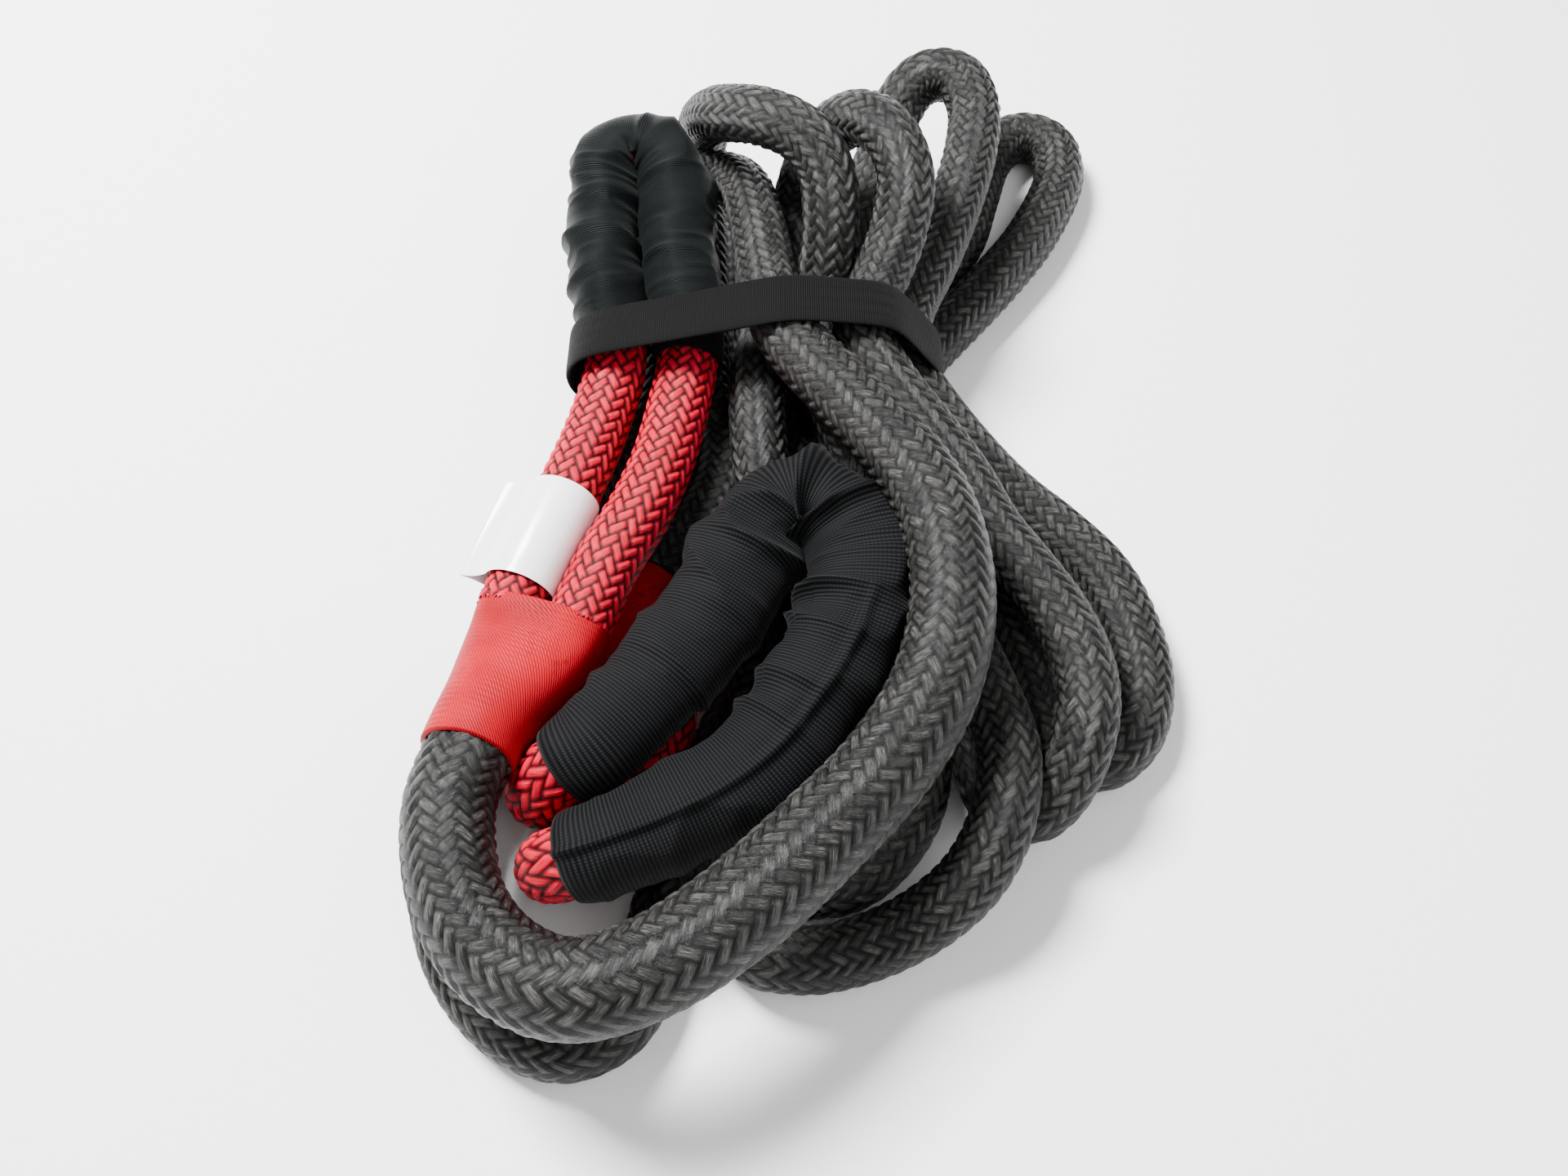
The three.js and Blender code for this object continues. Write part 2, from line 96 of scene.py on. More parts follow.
# The sleeves: rows and points, the hem turned in at each end, and the size of their folds
SLEEVE_STEP = 0.0011
SLEEVE_SIDES = 132
HEM_ROWS = 5
HEM_TUCK = 0.0085
HEM_DEPTH = 0.0017
HEM_LIP = 0.0006
BEND_FILL = 0.88
BEND_WINDOW = 9
END_REACH = 0.03
END_PRESS = 0.06
END_CALM = 0.3
WANDER = 0.8
WANDER_CELL = 0.03
WANDER_SEED = 11
BIG_LEVEL = 0.35
SMALL_BASE = 0.35
SLACK_RISE = 0.0012
SLACK_CELL = 0.022
FOLD_CELLS_ROUND = {"wander": 4, "big": 3, "small": 5, "slack": 4}
SLEEVE_FLOOR = 0.0005
SEAM_FADE = 0.02
SEAM_RIDGE = 0.0022
SEAM_WIDTH = 0.09
LAP_RISE = 0.0010
LAP_SOFTNESS = 0.03
LAP_REACH = 1.2
EYE_1_FOLDS = {"bend_at": 0.42, "bend_reach": 0.06, "big": 0.017, "small": 0.0055, "deep": 0.0045,
               "fine": 0.0018, "calm": 0.35, "seed": 3}
EYE_2_FOLDS = {"bend_at": 0.47, "bend_reach": 0.07, "big": 0.016, "small": 0.007, "deep": 0.0085,
               "fine": 0.0014, "calm": 0.30, "seed": 31}
EYE_2_SEAM = {"angle": 1.05, "drift": 0.35, "from": 0.56}

# The whippings: where the winding starts and ends, its shape at the throat, and its twine
WINDING_STEP = 0.0004
WINDING_SIDES = 128
WINDING_INSIDE = 0.004
WINDING_LEAD = 0.010
WINDING_MEET = 0.012
WINDING_PAST = 0.0015
WINDING_OVER_SIDES = 0.0016
WINDING_OVER_TOP = 0.0012
WINDING_SQUARE_X = 0.85
WINDING_SQUARE_Z = 0.75
WINDING_ROUND_AT = 0.92
TWINE_PITCH = 0.0024
TWINE_RISE = 0.00055
DIP_LEAST = 0.25
DIP_CELL = 0.02
DIP_CELLS_ROUND = 6
DIP_SEED = 5
LIP_REACH = 0.0012
LIP_DROP = 0.0016

# The strap: how far it lies off the strands, its softness and its rounded edges
STRAP_NEAR = 0.004
STRAP_OFF = 0.0003
STRAP_FLOOR = 0.0001
STRAND_POINTS = 48
STRAP_STEP = 0.0012
STRAP_SOFTENING = 40
STRAP_PROFILE_POINTS = 28
STRAP_SQUARE_Y = 0.35
STRAP_SQUARE_Z = 0.7
SWAY = 0.0008
SWAY_CELL = 0.03
SWAY_CELL_ACROSS = 0.012
SWAY_SEED = 21

# The tag: tape round the leg, thinned at its edges, with the flap bowed
TAG_STEP = 0.001
TAG_OVER = 0.0016
TAG_HALF_THICK = 0.0002
TAG_ROUND_POINTS = 90
TAG_FLAP_POINTS = 14
TAG_FLAP_START = 0.001
TAG_FLAP_GAP = 0.0004
TAG_EDGE = 0.0006
TAG_BOW = 0.0035
TAG_UV_ROUND = 0.2

# Looks: colours are linear, rough and shine are the shader's roughness and specular level
# In the braid looks, the light colour is partly the filaments' own paler tone and partly a painted highlight
# on them, and the last value sets how dark the painted shade at the floats' edges and ends gets
GREY_BRAID_LOOK = {"dark": (0.0015, 0.0015, 0.0014), "mid": (0.011, 0.0107, 0.0098),
                   "light": (0.15, 0.146, 0.134), "rough": 0.40, "shine": 0.30, "fibre": 1.0, "painted_shade_low": 0.02}
RED_BRAID_LOOK = {"dark": (0.22, 0.0005, 0.006), "mid": (0.52, 0.0015, 0.022),
                  "light": (0.74, 0.022, 0.060), "rough": 0.42, "shine": 0.14, "fibre": 0.6, "painted_shade_low": 0.10}
DIP_LOOK = {"deep": (0.14, 0.0002, 0.003), "mid": (0.30, 0.0003, 0.007), "pale": (0.42, 0.0008, 0.012),
            "stain": (0.55, 0.4, 0.4), "rough": 0.5, "shine": 0.1}
COVER_LOOK = {"dark": (0.0002, 0.0002, 0.0003), "light": (0.0085, 0.0092, 0.0105), "rough": 0.70,
              "yarns": 260.0, "ribs": 215.0}
SATIN_LOOK = {"dark": (0.0006, 0.0010, 0.0010), "light": (0.0040, 0.0066, 0.0066), "rough": 0.45,
              "yarns": 420.0, "ribs": 420.0}
WEBBING_LOOK = {"dark": (0.0003, 0.0003, 0.0004), "light": (0.0035, 0.0035, 0.004), "rough": 0.7,
                "yarns": 200.0, "ribs": 330.0}
TAG_LOOK = {"colour": (0.90, 0.90, 0.90), "rough": 0.25, "coat": 0.4, "variation": 0.02}
FLOOR_LOOK = {"colour": (0.95, 0.95, 0.95), "rough": 0.7, "coat": 0.0, "variation": 0.01}

# The camera, measured from the photograph: focal length in the photo's own pixels
PHOTO_WIDTH = 1920
FOCAL_PIXELS = 1750
SENSOR_WIDTH = 36
CAMERA_HEIGHT = 0.545
CAMERA_PITCH = math.radians(60)
CAMERA_NEAR = 0.01

# The floor and the lights, in metres and watts
FLOOR_HALF = 6.0
KEY_LIGHT = {"place": (-0.75, 0.55, 1.5), "size": 0.6, "power": 150}
FILL_LIGHT = {"place": (0.9, -0.7, 1.4), "size": 1.6, "power": 24}
SKY_STRENGTH = 0.46

# Route points, the same as in the part's source
BODY_ROUTE = [
    (-0.117, 0.213, 0.052), (-0.121, 0.194, 0.055), (-0.119, 0.173, 0.058), (-0.111, 0.150, 0.062),
    (-0.095, 0.131, 0.066), (-0.072, 0.121, 0.070), (-0.046, 0.127, 0.072), (-0.017, 0.146, 0.072),
    (0.012, 0.174, 0.070), (0.034, 0.198, 0.070), (0.050, 0.222, 0.074), (0.058, 0.246, 0.076),
    (0.060, 0.270, 0.076), (0.056, 0.296, 0.075), (0.047, 0.319, 0.073), (0.036, 0.342, 0.071),
    (0.024, 0.366, 0.068), (0.010, 0.390, 0.065), (0.002, 0.407, 0.064), (-0.003, 0.438, 0.062),
    (-0.008, 0.469, 0.062), (-0.014, 0.495, 0.057), (-0.025, 0.512, 0.050), (-0.042, 0.520, 0.044),
    (-0.058, 0.514, 0.033), (-0.066, 0.497, 0.019), (-0.066, 0.470, 0.0135), (-0.060, 0.407, 0.0155),
    (-0.067, 0.380, 0.014), (-0.082, 0.345, 0.013), (-0.097, 0.305, 0.013), (-0.111, 0.265, 0.013),
    (-0.125, 0.225, 0.013), (-0.132, 0.186, 0.013), (-0.124, 0.150, 0.013), (-0.104, 0.125, 0.013),
    (-0.080, 0.115, 0.013), (-0.060, 0.124, 0.013), (-0.050, 0.146, 0.013), (-0.044, 0.172, 0.013),
    (-0.034, 0.198, 0.013), (-0.025, 0.230, 0.013), (-0.012, 0.265, 0.013), (-0.004, 0.300, 0.013),
    (-0.003, 0.335, 0.020), (-0.009, 0.370, 0.034), (-0.011, 0.407, 0.0415), (-0.008, 0.440, 0.040),
    (-0.003, 0.470, 0.044), (0.004, 0.500, 0.054), (0.014, 0.516, 0.072), (0.030, 0.510, 0.090),
    (0.043, 0.492, 0.097), (0.050, 0.471, 0.091), (0.046, 0.451, 0.078), (0.036, 0.430, 0.066),
    (0.029, 0.407, 0.064), (0.040, 0.385, 0.059), (0.058, 0.364, 0.051), (0.074, 0.343, 0.044),
    (0.086, 0.320, 0.040), (0.099, 0.300, 0.039), (0.110, 0.280, 0.039), (0.117, 0.258, 0.039),
    (0.117, 0.238, 0.036), (0.109, 0.218, 0.026), (0.094, 0.206, 0.015), (0.082, 0.217, 0.013),
    (0.079, 0.240, 0.013), (0.074, 0.270, 0.013), (0.064, 0.300, 0.013), (0.048, 0.335, 0.013),
    (0.032, 0.372, 0.013), (0.020, 0.407, 0.0155), (0.041, 0.442, 0.013), (0.068, 0.474, 0.013),
    (0.088, 0.505, 0.013), (0.097, 0.535, 0.013), (0.107, 0.565, 0.013), (0.122, 0.580, 0.013),
    (0.138, 0.574, 0.013), (0.141, 0.552, 0.013), (0.124, 0.512, 0.013), (0.102, 0.481, 0.013),
    (0.078, 0.452, 0.013), (0.061, 0.430, 0.013), (0.046, 0.407, 0.0155), (0.060, 0.370, 0.013),
    (0.073, 0.332, 0.013), (0.089, 0.295, 0.013), (0.098, 0.262, 0.013), (0.104, 0.237, 0.013),
    (0.122, 0.224, 0.013), (0.139, 0.237, 0.013), (0.146, 0.260, 0.013), (0.143, 0.287, 0.013),
    (0.134, 0.311, 0.013), (0.116, 0.332, 0.013), (0.096, 0.347, 0.017), (0.076, 0.362, 0.027),
    (0.059, 0.383, 0.038), (0.049, 0.407, 0.0415), (0.053, 0.430, 0.046), (0.066, 0.458, 0.050),
    (0.079, 0.490, 0.055), (0.088, 0.520, 0.060), (0.091, 0.548, 0.062), (0.084, 0.568, 0.062),
    (0.068, 0.572, 0.058), (0.055, 0.558, 0.048), (0.046, 0.535, 0.034), (0.032, 0.505, 0.020),
    (0.014, 0.470, 0.013), (-0.001, 0.440, 0.013), (-0.006, 0.407, 0.0155), (0.003, 0.375, 0.013),
    (0.018, 0.340, 0.013), (0.033, 0.300, 0.013), (0.044, 0.268, 0.013), (0.053, 0.242, 0.013),
    (0.054, 0.216, 0.013), (0.044, 0.194, 0.013), (0.026, 0.178, 0.013), (0.004, 0.174, 0.013),
    (-0.014, 0.166, 0.013), (-0.014, 0.152, 0.014), (0.006, 0.146, 0.015), (0.028, 0.149, 0.016),
    (0.051, 0.158, 0.020), (0.071, 0.172, 0.030), (0.083, 0.192, 0.038), (0.087, 0.218, 0.040),
    (0.080, 0.245, 0.039), (0.067, 0.280, 0.039), (0.052, 0.320, 0.039), (0.033, 0.360, 0.039),
    (0.016, 0.407, 0.0415), (0.017, 0.432, 0.056), (0.020, 0.451, 0.078), (0.018, 0.470, 0.094),
    (0.008, 0.483, 0.102), (-0.008, 0.494, 0.102), (-0.024, 0.508, 0.092), (-0.034, 0.528, 0.072),
    (-0.040, 0.544, 0.050), (-0.042, 0.548, 0.028), (-0.041, 0.530, 0.014), (-0.038, 0.500, 0.013),
    (-0.036, 0.460, 0.013), (-0.033, 0.407, 0.0155), (-0.029, 0.383, 0.013), (-0.030, 0.358, 0.013),
    (-0.040, 0.334, 0.013), (-0.054, 0.309, 0.013),
]
EYE_1_ROUTE = [
    (-0.111, 0.278, 0.042), (-0.106, 0.294, 0.042), (-0.098, 0.315, 0.043), (-0.089, 0.340, 0.043),
    (-0.080, 0.372, 0.041), (-0.073, 0.407, 0.042), (-0.076, 0.430, 0.044), (-0.080, 0.455, 0.050),
    (-0.082, 0.480, 0.053), (-0.082, 0.499, 0.056), (-0.077, 0.514, 0.058), (-0.065, 0.520, 0.058),
    (-0.054, 0.513, 0.057), (-0.048, 0.498, 0.056), (-0.047, 0.480, 0.055), (-0.046, 0.455, 0.053),
    (-0.044, 0.430, 0.049), (-0.043, 0.407, 0.043), (-0.047, 0.378, 0.042), (-0.052, 0.353, 0.042),
    (-0.060, 0.328, 0.043), (-0.072, 0.302, 0.043), (-0.078, 0.286, 0.042), (-0.083, 0.270, 0.042),
]
EYE_2_ROUTE = [
    (-0.074, 0.268, 0.0145), (-0.081, 0.242, 0.0145), (-0.087, 0.222, 0.0145), (-0.091, 0.209, 0.020),
    (-0.090, 0.205, 0.034), (-0.081, 0.208, 0.048), (-0.070, 0.214, 0.053), (-0.061, 0.223, 0.054),
    (-0.048, 0.239, 0.054), (-0.034, 0.259, 0.054), (-0.020, 0.283, 0.055), (-0.008, 0.305, 0.056),
    (0.003, 0.321, 0.058), (0.017, 0.323, 0.060), (0.030, 0.306, 0.061), (0.030, 0.279, 0.061),
    (0.020, 0.251, 0.060), (0.008, 0.230, 0.059), (-0.007, 0.211, 0.057), (-0.025, 0.197, 0.055),
    (-0.047, 0.186, 0.053), (-0.068, 0.178, 0.051), (-0.082, 0.175, 0.046), (-0.088, 0.178, 0.033),
    (-0.083, 0.185, 0.018), (-0.075, 0.196, 0.0145), (-0.062, 0.214, 0.0145), (-0.051, 0.242, 0.0145),
    (-0.050, 0.262, 0.0145),
]


# The lay of the rope
def unit(a):
    return a / np.maximum(np.linalg.norm(a, axis=-1, keepdims=True), TINY)


def arc(line):
    return np.concatenate([[0], np.cumsum(np.linalg.norm(np.diff(line, axis=0), axis=1))])


def points_at(at, known, points):
    """Points of a line, read off between its known places."""
    return np.stack([np.interp(at, known, points[:, k]) for k in range(points.shape[1])], axis=1)


def even(line, step):
    """Points at an even spacing along a line."""
    at = arc(line)
    count = max(2, int(math.floor(at[-1] / step + 0.5)) + 1)
    return points_at(np.linspace(0, at[-1], count), at, line)


def smooth(route, step):
    """A centripetal Catmull-Rom line through the points."""
    pts = np.array(route, float)
    pts = np.vstack([2 * pts[0] - pts[1], pts, 2 * pts[-1] - pts[-2]])
    a, b, c, d = pts[:-3], pts[1:-2], pts[2:-1], pts[3:]

    def root(p, q):
        return np.sqrt(np.linalg.norm(q - p, axis=1))[:, None, None]

    t1 = root(a, b)
    t2 = t1 + root(b, c)
    t3 = t2 + root(c, d)
    a, b, c, d = (p[:, None, :] for p in (a, b, c, d))
    t = t1 + (t2 - t1) * (np.arange(CURVE_CUTS) / CURVE_CUTS)[None, :, None]

    def mix(p, q, k):
        return p + (q - p) * k

    ab, bc, cd = mix(a, b, t / t1), mix(b, c, (t - t1) / (t2 - t1)), mix(c, d, (t - t2) / (t3 - t2))
    line = mix(mix(ab, bc, t / t2), mix(bc, cd, (t - t1) / (t3 - t1)), (t - t1) / (t2 - t1))
    return even(np.vstack([line.reshape(-1, 3), pts[-2]]), step)


def share_of(line):
    return np.arange(len(line)) / (len(line) - 1)


def inside(share, span):
    return (share > span[0]) & (share < span[1])


def body_radius(s, total):
    """The body is thick where the eye's tail is buried in it."""
    near = np.interp(s, *zip(*SPLICE_SIZES))
    return np.maximum(near, np.interp(total - s, *zip(*END_SIZES)))


def eye_1_width(share):
    return np.full_like(share, EYE_1_SLEEVE_RADIUS)


def eye_2_width(share):
    """The second eye's sleeve lies narrower at its ends."""
    inner = np.minimum(share - EYE_2_SLEEVE_SPAN[0], EYE_2_SLEEVE_SPAN[1] - share)
    full = np.clip(inner / SLEEVE_TAPER, 0, 1)
    return SLEEVE_END_RADIUS + (EYE_2_SLEEVE_RADIUS - SLEEVE_END_RADIUS) * full


def eye_sizes(line, span, width):
    """An eye's radius at each node, with its sleeve."""
    share = share_of(line)
    return np.where(inside(share, span), width(share), COATED_RADIUS)


def node_pairs(which, place, last):
    """Pairs of nodes that push each other: no near neighbours on one strand, none in a splice's throat."""
    i, j = np.triu_indices(len(which), 1)
    near = (which[i] == which[j]) & ((place[j] - place[i]) * NODE_STEP < OWN_ARC)
    throat_1 = (which[i] == 0) & (which[j] == 1) & (place[i] < THROAT_NODES)
    throat_2 = (which[i] == 0) & (which[j] == 2) & (place[i] > last - THROAT_NODES)
    kept = ~(near | throat_1 | throat_2)
    return i[kept], j[kept]


def settle(lines, radii):
    """Lets the strands settle beside and on each other, bent no tighter than BEND_RADIUS."""
    start, r = np.vstack(lines), np.concatenate(radii)
    count = len(start)
    which = np.concatenate([np.full(len(line), k) for k, line in enumerate(lines)])
    place = np.concatenate([np.arange(len(line)) for line in lines])
    i, j = node_pairs(which, place, len(lines[0]) - 1)
    room = r[i] + r[j] + NODE_GAP
    starts = np.cumsum([len(line) for line in lines])
    ends = np.isin(np.arange(count), [0, *starts]) | np.isin(np.arange(count) + 1, starts)
    inner = np.where(~ends)[0]
    limit = NODE_STEP**2 / (2 * BEND_RADIUS)

    def gather(index, value):
        return np.stack([np.bincount(index, value[:, k], count) for k in range(3)], axis=1)

    def pushed(at):
        """Strands that are too near push each other apart."""
        d = at[i] - at[j]
        l = np.sqrt(np.einsum("ij,ij->i", d, d))
        m = l < room
        push = d[m] * (0.5 * (room[m] - l[m]) / l[m])[:, None]
        moved = gather(i[m], push) - gather(j[m], push)
        hits = np.bincount(i[m], minlength=count) + np.bincount(j[m], minlength=count)
        return at + moved * (PUSH_SHARE / np.maximum(hits, 1))[:, None]

    def evened(at):
        """A node's shift is shared with its neighbours, and fades a little."""
        shift = at - start
        eased = shift.copy()
        eased[inner] += EVEN_SHARE * (shift[inner - 1] + shift[inner + 1] - 2 * shift[inner])
        return start + eased * KEPT_SHIFT

    def unbent(at):
        """A bend that is too tight opens."""
        mid = (at[inner - 1] + at[inner + 1]) / 2 - at[inner]
        l = np.linalg.norm(mid, axis=1)
        pull = mid * (np.where(l > limit, UNBEND_SHARE * (l - limit), 0) / np.maximum(l, TINY))[:, None]
        return at + gather(inner, pull) - gather(inner - 1, pull / 2) - gather(inner + 1, pull / 2)

    at = start
    for _ in range(SETTLE_ROUNDS):
        at = unbent(evened(pushed(at)))
        under = np.where(np.abs(at[:, 1] - STRAP_Y) < STRAP_FLOOR_REACH, STRAP_THICK + STRAP_EASE, 0)
        at[:, 2] = np.maximum(at[:, 2], r + under)
    return [at[which == k] for k in range(len(lines))]


body_line, eye_1_line, eye_2_line = (smooth(r, NODE_STEP) for r in (BODY_ROUTE, EYE_1_ROUTE, EYE_2_ROUTE))
body_sizes = body_radius(share_of(body_line) * arc(body_line)[-1], arc(body_line)[-1])
eye_1_sizes = eye_sizes(eye_1_line, EYE_1_SLEEVE_SPAN, eye_1_width)
eye_2_sizes = eye_sizes(eye_2_line, EYE_2_SLEEVE_SPAN, eye_2_width)
settled = settle([body_line, eye_1_line, eye_2_line], [body_sizes, eye_1_sizes, eye_2_sizes])
body, eye_1, eye_2 = (line + CENTRE for line in settled)


# Directions along a line
def tangents(line):
    return unit(np.vstack([line[1] - line[0], line[2:] - line[:-2], line[-1] - line[-2]]))


def carried_frames(line, across=(0, 0, 1)):
    """Side and up directions, carried along the line without twist."""
    along = tangents(line)
    side = np.array(across, float)
    sides = []
    for a in along:
        side = side - a * (side @ a)
        side = side / np.linalg.norm(side)
        sides.append(side)
    sides = np.array(sides)
    return sides, np.cross(along, sides)


def level_frames(line):
    """Along, up and left directions of a line that lies nearly level."""
    along = tangents(line)
    up = unit(np.array([0, 0, 1.0]) - along * along[:, 2:])
    return along, up, np.cross(up, along)


def placed(line, x, side, z, up):
    """Rows of points round a line, x to its side and z up from it."""
    return line[:, None, :] + x[..., None] * side[:, None, :] + z[..., None] * up[:, None, :]


# Meshes
def mesh_object(name, verts, quads, uv):
    """A smooth-shaded mesh of quads; uv is one pair for each corner."""
    mesh = bpy.data.meshes.new(name)
    mesh.vertices.add(len(verts))
    mesh.vertices.foreach_set("co", np.asarray(verts, dtype=np.float32).ravel())
    mesh.loops.add(quads.size)
    mesh.loops.foreach_set("vertex_index", quads.ravel().astype(np.int32))
    mesh.polygons.add(len(quads))
    mesh.polygons.foreach_set("loop_start", np.arange(0, quads.size, 4, dtype=np.int32))
    layer = mesh.uv_layers.new(name="strand")
    layer.data.foreach_set("uv", np.asarray(uv, dtype=np.float32).ravel())
    mesh.update(calc_edges=True)
    mesh.validate()
    mesh.polygons.foreach_set("use_smooth", np.full(len(mesh.polygons), True))
    return linked(name, mesh)


def linked(name, data):
    obj = bpy.data.objects.new(name, data)
    bpy.context.collection.objects.link(obj)
    return obj


def skin(name, verts, v_at, u_length):
    """A tube's mesh over rows of points; the UV map is in metres, round and along."""
    rows, k = verts.shape[:2]
    r, c = np.meshgrid(np.arange(rows - 1), np.arange(k), indexing="ij")
    n = (c + 1) % k
    quads = np.stack([r * k + c, r * k + n, (r + 1) * k + n, (r + 1) * k + c], axis=-1).reshape(-1, 4)
    u = np.stack([c, c + 1, c + 1, c], axis=-1) / k * u_length
    v = np.stack([v_at[r], v_at[r], v_at[r + 1], v_at[r + 1]], axis=-1)
    return mesh_object(name, verts.reshape(-1, 3), quads, np.stack([u, v], axis=-1).reshape(-1, 2))


# The braid: p and q count the strands of the two directions, m goes round the rope and l along it
def braid_height(p, q):
    """How far the cover stands out at p, q: rounded strips, each over two and under two of the others."""
    def strip(x):
        return np.sqrt(np.clip(1 - (2 * np.abs(x - np.floor(x) - 0.5)) ** 2, 0, 1))

    over_a = np.cos(2 * np.pi * (np.floor(p) + q - 1) / 4)
    over_b = -np.cos(2 * np.pi * (p + np.floor(q) - 1) / 4)
    a = FLOAT_RISE * np.tanh(FLOAT_STEEPNESS * over_a) + STRAND_THICK * strip(p)
    b = FLOAT_RISE * np.tanh(FLOAT_STEEPNESS * over_b) + STRAND_THICK * strip(q)
    return np.maximum(a, b)


def braid_surface(fine, radius):
    """Rows of points on the cover; each second row is turned by half a point."""
    side, up = carried_frames(fine)
    r, c = np.arange(len(fine))[:, None], np.arange(STRANDS * STRAND_CUTS)[None, :]
    m = (2 * c + r % 2) / STRAND_CUTS
    l = np.broadcast_to(r / STRAND_CUTS, m.shape)
    p, q = (m + l) / 2, (m - l) / 2
    angle = 2 * np.pi * m / (2 * STRANDS)
    nudges = [(a, b) for a in (CROSSING_STEP, -CROSSING_STEP) for b in (CROSSING_STEP, -CROSSING_STEP)]
    lift = np.max([braid_height(p + a, q + b) for a, b in nudges], axis=0)
    high = radius[:, None] + lift - BRAID_SINK
    return placed(fine, np.cos(angle) * high, side, np.sin(angle) * high, up)


def braid_cells(lo, hi):
    """Diamond quads from row lo to hi; their UV is the strand with the place across it, and the run."""
    k = STRANDS * STRAND_CUTS
    r, c = np.arange(lo, hi)[:, None], np.arange(k)[None, :]
    odd = r % 2
    bottom, top = r * k + c, (r + 2) * k + c
    right, left = (r + 1) * k + (c + odd) % k, (r + 1) * k + (c - 1 + odd) % k
    quads = np.stack([np.broadcast_to(x, (hi - lo, k)) for x in (bottom, right, top, left)], axis=-1)
    m, l = (2 * c + odd) / STRAND_CUTS, (r + 1) / STRAND_CUTS
    p, q = np.floor((m + l) / 2), np.floor((m - l) / 2)
    is_a = np.mod(p + q, 4) < 2
    strand = np.where(is_a, 2 * np.mod(p, STRAND_LABELS), 2 * np.mod(q, STRAND_LABELS) + COUNTER_LABELS)
    uv = []
    for dm, dl in ((0, -1), (1, 0), (0, 1), (-1, 0)):
        corner_m, corner_l = m + dm / STRAND_CUTS, l + dl / STRAND_CUTS
        corner_p, corner_q = (corner_m + corner_l) / 2, (corner_m - corner_l) / 2
        across = strand + np.where(is_a, corner_p - p, corner_q - q)
        run = np.where(is_a, p + corner_q, corner_p + q - 2)
        uv.append(np.stack([across, run], axis=-1))
    return (quads - lo * k).reshape(-1, 4), np.stack(uv, axis=2).reshape(-1, 2)


def braid(name, line, sizes, spans=((0.0, 1.0),)):
    """A 2-over-2 braided cover round the line: one piece and its path for each span of its length."""
    total = arc(line)[-1]
    fine = smooth(line, STRAND_RISE / (2 * STRAND_CUTS))
    rows = len(fine)
    verts = braid_surface(fine, np.interp(share_of(fine), share_of(line), sizes))
    made = []
    for number, (first, last) in enumerate(spans):
        lo, hi = int(first * (rows - 3)), int(last * (rows - 3))
        quads, uv = braid_cells(lo, hi)
        label = name if len(spans) == 1 else f"{name}_{number + 1}"
        obj = mesh_object(label, verts[lo : hi + 2].reshape(-1, 3), quads, uv)
        start, end = lo / (rows - 1), (hi + 1) / (rows - 1)
        steps = max(PATH_LEAST, int((end - start) * total / PATH_STEP))
        way = np.linspace(start, end, steps) * (rows - 1)
        made.append((obj, points_at(way, np.arange(rows), fine)))
    return made


# Noise
NOISE_TABLE = 64


def smooth_noise(u, v, seed, around=NOISE_TABLE):
    """Value noise between 0 and 1 on a unit grid; v repeats after `around` cells."""
    table = np.random.default_rng(seed).random((NOISE_TABLE, NOISE_TABLE))
    iu, iv = np.floor(u).astype(int), np.floor(v).astype(int)
    fu, fv = u - iu, v - iv
    fu, fv = fu * fu * (3 - 2 * fu), fv * fv * (3 - 2 * fv)

    def at(a, b):
        return table[np.mod(a, NOISE_TABLE), np.mod(b, around)]

    low = at(iu, iv) * (1 - fv) + at(iu, iv + 1) * fv
    high = at(iu + 1, iv) * (1 - fv) + at(iu + 1, iv + 1) * fv
    return low * (1 - fu) + high * fu


def noise_round(u, angle, seed, cells):
    """Noise on a tube, with so many cells round it."""
    return smooth_noise(u, angle * cells / (2 * np.pi), seed, cells)


def ridges(u, angle, seed, cells):
    """Sharp-crested folds from noise."""
    return 1 - np.abs(2 * noise_round(u, angle, seed, cells) - 1)


# The sleeves
def bend_side(along, left):
    """How tightly the line bends, and whether its left side is the inside."""
    turn = np.gradient(along, axis=0) / SLEEVE_STEP
    bend = np.einsum("ij,ij->i", turn, left)
    padded = np.pad(bend, BEND_WINDOW // 2, mode="edge")
    return np.convolve(padded, np.ones(BEND_WINDOW) / BEND_WINDOW, mode="valid")


def hem_rows(s):
    """Where a tube's rows lie along it, turned in at both ends, and how deep each row is sunk."""
    total = s[-1]
    tuck = np.linspace(HEM_TUCK, 0, HEM_ROWS)
    far_tuck = np.linspace(total, total - HEM_TUCK, HEM_ROWS)
    deep = np.full(HEM_ROWS, HEM_DEPTH)
    way = np.concatenate([tuck, [0], s[3:-3], [total], far_tuck])
    return way, np.concatenate([deep, [HEM_LIP], np.zeros(len(s) - 6), [HEM_LIP], deep])


def fold_relief(w, total, a, ends, folds):
    """Big folds gathered at the bend, small ones all along, and a slow slack."""
    cells = FOLD_CELLS_ROUND
    middle = np.exp(-(((w - folds["bend_at"] * total) / folds["bend_reach"]) ** 2))
    weight = folds["calm"] + (1 - folds["calm"]) * middle
    wander = WANDER * noise_round(w / WANDER_CELL, a, WANDER_SEED, cells["wander"])
    big = ridges(w / folds["big"] + wander, a, folds["seed"], cells["big"]) ** 2
    small = ridges(w / folds["small"] + wander, a, folds["seed"] + 1, cells["small"])
    slack = noise_round(w / SLACK_CELL, a, folds["seed"] + 2, cells["slack"])
    relief = folds["deep"] * weight * (big - BIG_LEVEL)
    relief = relief + folds["fine"] * (SMALL_BASE + weight) * (small - 0.5)
    return relief * (END_CALM + (1 - END_CALM) * ends) + SLACK_RISE * (slack - 0.5)


